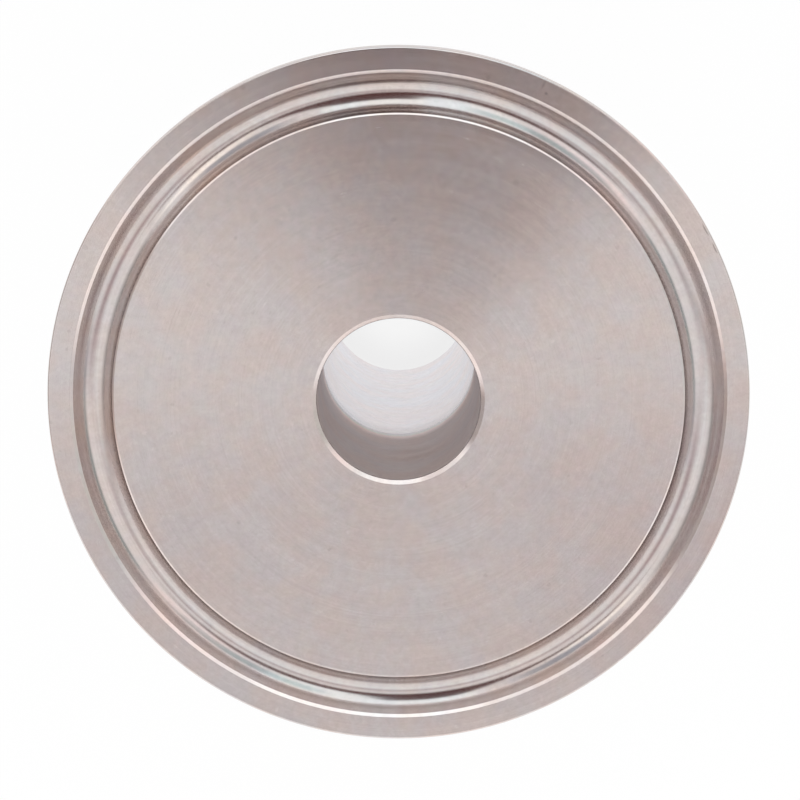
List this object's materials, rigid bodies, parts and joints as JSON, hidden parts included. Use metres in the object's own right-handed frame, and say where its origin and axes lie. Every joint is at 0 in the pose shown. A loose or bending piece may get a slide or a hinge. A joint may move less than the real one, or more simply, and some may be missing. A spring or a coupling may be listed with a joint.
{
  "type": "sanitary clamp hose barb",
  "caption": "Round clamp flange with a gasket groove in its face and a barbed hose shank behind it, bored right through and turned in one piece from stainless steel.",
  "frame": {"origin": "centre of the clamp face, where the bore opens", "axes": "+Z leaves the clamp face along the bore, and the barb points to -Z, so the part stands on the tip of its barb"},
  "size_m": [0.0506, 0.0506, 0.051],
  "materials": {
    "turned_stainless": "fine circular turning marks, satin"
  },
  "bodies": {
    "root": {"hose_barb_fitting": "turned_stainless"}
  },
  "joints": []
}
